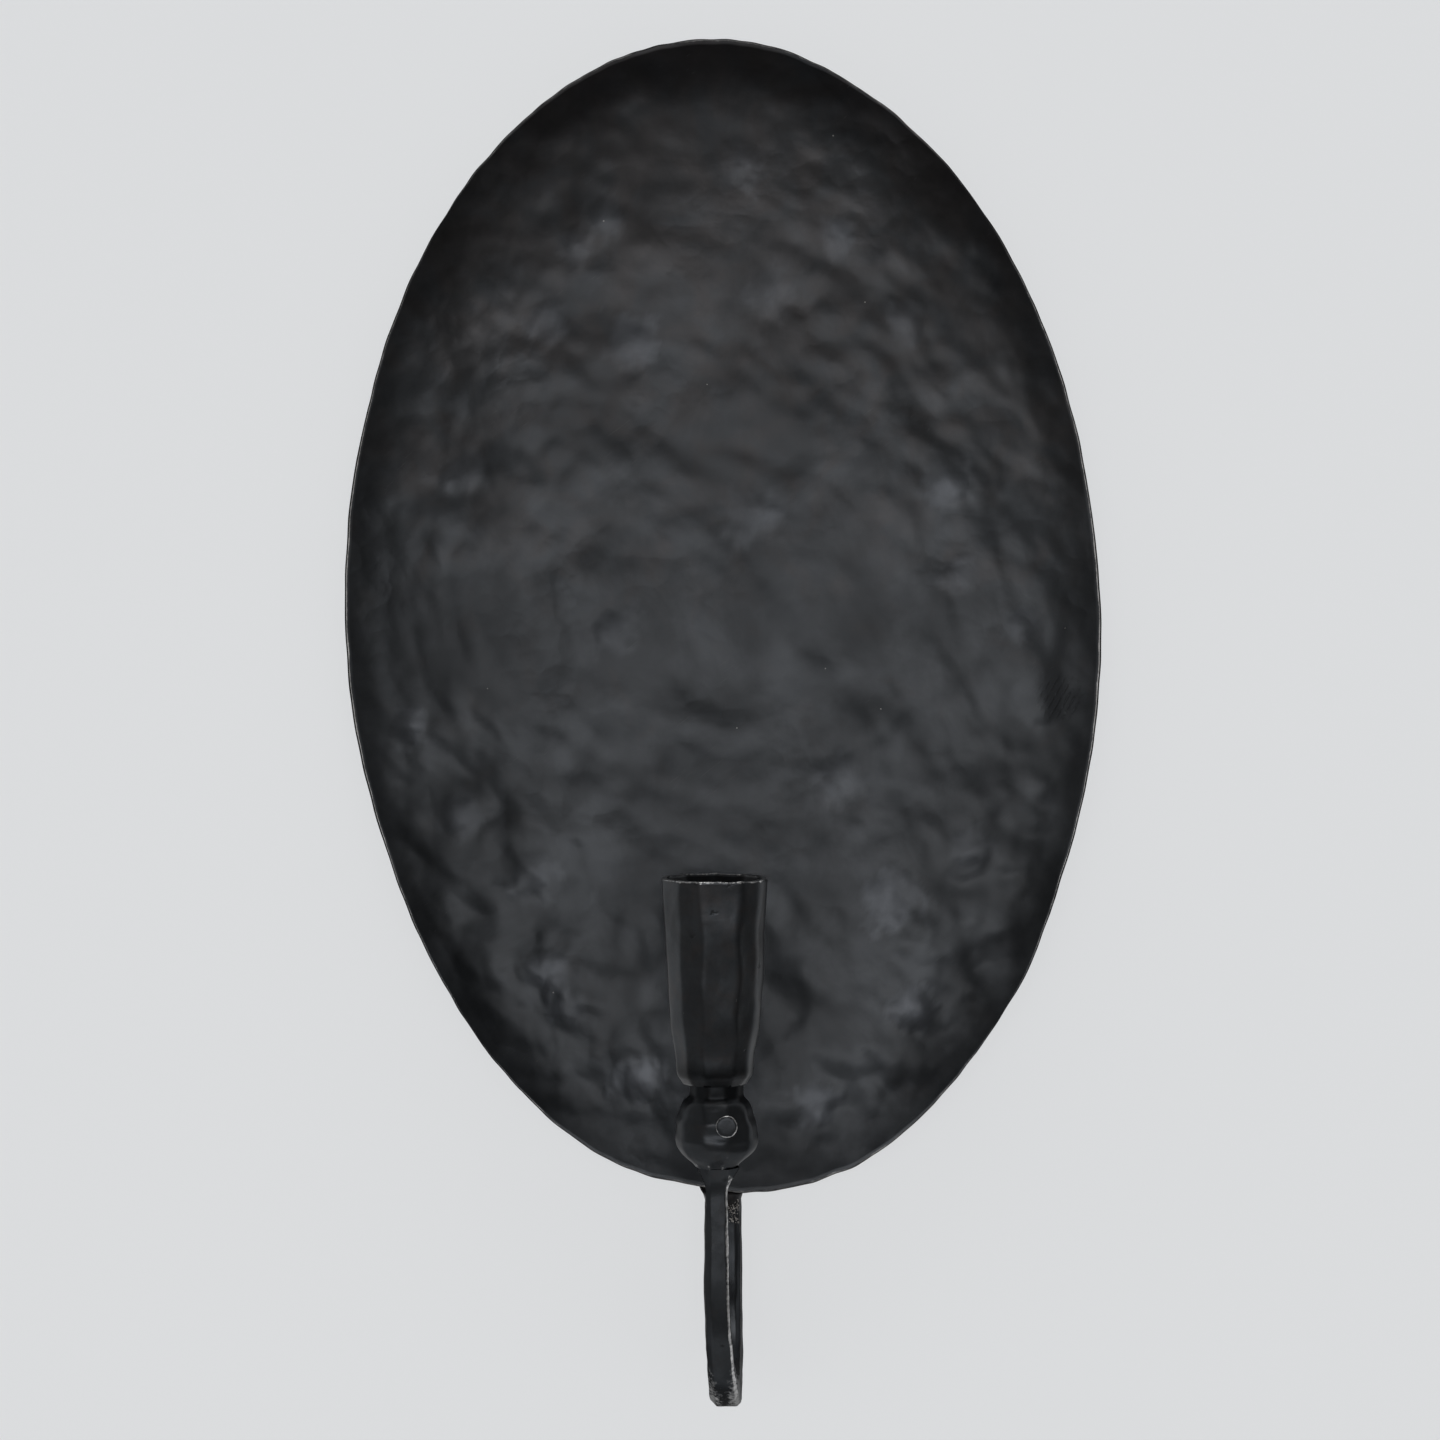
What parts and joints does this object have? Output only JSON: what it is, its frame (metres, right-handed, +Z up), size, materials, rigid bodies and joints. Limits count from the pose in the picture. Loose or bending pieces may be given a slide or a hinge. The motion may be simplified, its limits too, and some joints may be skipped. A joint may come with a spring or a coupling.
{
  "type": "wall candle holder",
  "caption": "Forged wall candle holder: an oval dished back plate, a U-shaped arm welded behind it, and a ball that carries a tapered faceted cup; hangs on a keyhole bridge.",
  "frame": {"origin": "centre of the keyhole's round entry, on the hanger's wall face", "axes": "+Z up, +X to the right seen from the room, +Y into the wall; the wall is the plane Y = 0"},
  "size_m": [0.2209, 0.0984, 0.3923],
  "materials": {
    "plate_iron": "hammered sheet, blackened and waxed to a soft satin",
    "forged_iron": "forged and blackened, waxed, with worn corners",
    "weld_metal": "rough blackened weld",
    "hanger_steel": "dark oiled steel strip",
    "screw_steel": "blackened steel screw",
    "bumper_rubber": "matt black rubber"
  },
  "bodies": {
    "root": {"back_plate": "plate_iron", "hanger_bridge": "hanger_steel", "hanger_welds": "weld_metal", "wall_bumpers": "bumper_rubber", "arm": "forged_iron", "rim_weld": "weld_metal", "palm_welds": "weld_metal", "ball": "forged_iron", "ball_pin": "forged_iron", "candle_cup": "forged_iron", "cup_screw": "screw_steel"}
  },
  "joints": []
}
